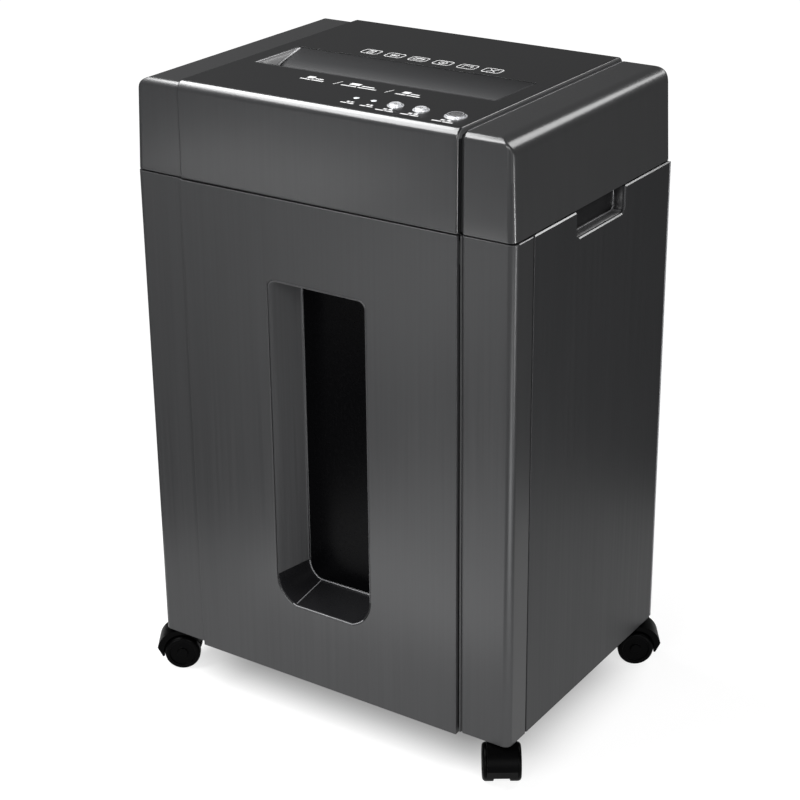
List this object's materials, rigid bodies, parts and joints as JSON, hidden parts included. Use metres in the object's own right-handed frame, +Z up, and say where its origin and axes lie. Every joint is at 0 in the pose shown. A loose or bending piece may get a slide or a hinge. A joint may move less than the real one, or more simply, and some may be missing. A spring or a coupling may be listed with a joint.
{
  "type": "paper shredder",
  "caption": "Office paper shredder on castors: sloped top paper entry over a cross-cut head, and a pull-out bin drawer with a tall window.",
  "frame": {"origin": "on the floor, under the middle of the cabinet", "axes": "+X to the user's right, +Y to the back, +Z up; the drawer front faces -Y"},
  "size_m": [0.3922, 0.2842, 0.5525],
  "materials": {
    "housing_front": "satin dark grey with fine vertical streaks",
    "side_sheet": "satin dark grey",
    "cover_gloss": "semi-gloss dark grey",
    "recess_grey": "satin dark grey",
    "black_plastic": "fine grain black",
    "button_chrome": "polished",
    "smoked_lens": "polished near-black",
    "lamp_white": "clear white",
    "castor_black": "semi-gloss black",
    "rubber_black": "matt",
    "zinc_steel": "zinc plated",
    "cutter_steel": "ground",
    "bush_bronze": "sintered",
    "nylon_white": "natural nylon",
    "board_green": "solder mask",
    "motor_steel": "drawn can"
  },
  "bodies": {
    "cabinet": {"base_tray": "black_plastic", "left_side_panel": "side_sheet", "right_side_panel": "side_sheet", "rear_panel": "side_sheet", "left_corner_post": "housing_front", "right_corner_post": "housing_front", "front_top_rail": "black_plastic", "deck_frame": "black_plastic", "left_hand_cup": "black_plastic", "right_hand_cup": "black_plastic", "drawer_runners": "black_plastic", "head_chassis": "black_plastic", "left_end_cap": "housing_front", "right_end_cap": "housing_front", "top_cover": "cover_gloss", "entry_trough": "recess_grey", "button_rings": "button_chrome", "indicator_lenses": "lamp_white", "control_board": "board_green", "power_board": "board_green", "paper_sensor": "black_plastic", "bin_sensor": "black_plastic", "cord_gland": "rubber_black", "housing_screws": "zinc_steel", "left_frame_plate": "zinc_steel", "right_frame_plate": "zinc_steel", "frame_rods": "zinc_steel", "front_stripper_comb": "nylon_white", "rear_stripper_comb": "nylon_white", "cutter_bushes": "bush_bronze", "motor_body": "motor_steel", "motor_bracket": "zinc_steel", "gear_cover": "black_plastic"},
    "drawer": {"drawer_front": "housing_front", "window_pocket": "recess_grey", "window_lens": "smoked_lens", "bin_tub": "black_plastic", "bin_magnet": "zinc_steel"},
    "rear_cutter_shaft": {"rear_cutter": "cutter_steel", "rear_sync_gear": "cutter_steel", "drive_gear": "cutter_steel"},
    "front_cutter_shaft": {"front_cutter": "cutter_steel", "front_sync_gear": "cutter_steel"},
    "idler": {"idler_gear": "nylon_white"},
    "motor_rotor": {"motor_shaft": "zinc_steel"},
    "power_key": {"power_button": "button_chrome"},
    "forward_key": {"forward_button": "button_chrome"},
    "reverse_key": {"reverse_button": "button_chrome"},
    "castor_fl": {"castor_hood_fl": "castor_black", "castor_stem_fl": "zinc_steel"},
    "wheels_fl": {"castor_wheels_fl": "castor_black"},
    "castor_fr": {"castor_hood_fr": "castor_black", "castor_stem_fr": "zinc_steel"},
    "wheels_fr": {"castor_wheels_fr": "castor_black"},
    "castor_rl": {"castor_hood_rl": "castor_black", "castor_stem_rl": "zinc_steel"},
    "wheels_rl": {"castor_wheels_rl": "castor_black"},
    "castor_rr": {"castor_hood_rr": "castor_black", "castor_stem_rr": "zinc_steel"},
    "wheels_rr": {"castor_wheels_rr": "castor_black"}
  },
  "joints": [
    {"name": "drawer_slide", "type": "slide", "parent": "cabinet", "child": "drawer", "axis": [0, -1, 0], "range_m": [0, 0.24]},
    {"name": "power_press", "type": "slide", "parent": "cabinet", "child": "power_key", "axis": [0, 0, -1], "range_m": [0, 0.001], "stiffness_N_per_m": 1500, "springref_m": -0.001},
    {"name": "forward_press", "type": "slide", "parent": "cabinet", "child": "forward_key", "axis": [0, 0, -1], "range_m": [0, 0.001], "stiffness_N_per_m": 1500, "springref_m": -0.001},
    {"name": "reverse_press", "type": "slide", "parent": "cabinet", "child": "reverse_key", "axis": [0, 0, -1], "range_m": [0, 0.001], "stiffness_N_per_m": 1500, "springref_m": -0.001},
    {"name": "rear_cutter_spin", "type": "hinge", "parent": "cabinet", "child": "rear_cutter_shaft", "pos_m": [0, -0.0255, 0.496], "axis": [1, 0, 0], "continuous": true},
    {"name": "front_cutter_spin", "type": "hinge", "parent": "cabinet", "child": "front_cutter_shaft", "pos_m": [0, -0.0605, 0.496], "axis": [1, 0, 0], "continuous": true},
    {"name": "idler_spin", "type": "hinge", "parent": "cabinet", "child": "idler", "pos_m": [0, 0.00169, 0.50868], "axis": [1, 0, 0], "continuous": true},
    {"name": "motor_spin", "type": "hinge", "parent": "cabinet", "child": "motor_rotor", "pos_m": [0, 0.03469, 0.50868], "axis": [1, 0, 0], "continuous": true},
    {"name": "castor_fl_swivel", "type": "hinge", "parent": "cabinet", "child": "castor_fl", "pos_m": [-0.162, -0.108, 0.05], "axis": [0, 0, 1], "continuous": true},
    {"name": "castor_fl_roll", "type": "hinge", "parent": "castor_fl", "child": "wheels_fl", "pos_m": [-0.17031, -0.11356, 0.016], "axis": [0.5563, -0.831, 0], "continuous": true},
    {"name": "castor_fr_swivel", "type": "hinge", "parent": "cabinet", "child": "castor_fr", "pos_m": [0.162, -0.108, 0.05], "axis": [0, 0, 1], "continuous": true},
    {"name": "castor_fr_roll", "type": "hinge", "parent": "castor_fr", "child": "wheels_fr", "pos_m": [0.16756, -0.11631, 0.016], "axis": [0.831, 0.5563, 0], "continuous": true},
    {"name": "castor_rl_swivel", "type": "hinge", "parent": "cabinet", "child": "castor_rl", "pos_m": [-0.162, 0.108, 0.05], "axis": [0, 0, 1], "continuous": true},
    {"name": "castor_rl_roll", "type": "hinge", "parent": "castor_rl", "child": "wheels_rl", "pos_m": [-0.16756, 0.11631, 0.016], "axis": [-0.831, -0.5563, 0], "continuous": true},
    {"name": "castor_rr_swivel", "type": "hinge", "parent": "cabinet", "child": "castor_rr", "pos_m": [0.162, 0.108, 0.05], "axis": [0, 0, 1], "continuous": true},
    {"name": "castor_rr_roll", "type": "hinge", "parent": "castor_rr", "child": "wheels_rr", "pos_m": [0.17031, 0.11356, 0.016], "axis": [-0.5563, 0.831, 0], "continuous": true}
  ],
  "couplings": [
    {"joint": "front_cutter_spin", "follows": "rear_cutter_spin", "ratio": -1},
    {"joint": "idler_spin", "follows": "rear_cutter_spin", "ratio": -2.3333},
    {"joint": "motor_spin", "follows": "rear_cutter_spin", "ratio": 6.2222}
  ]
}
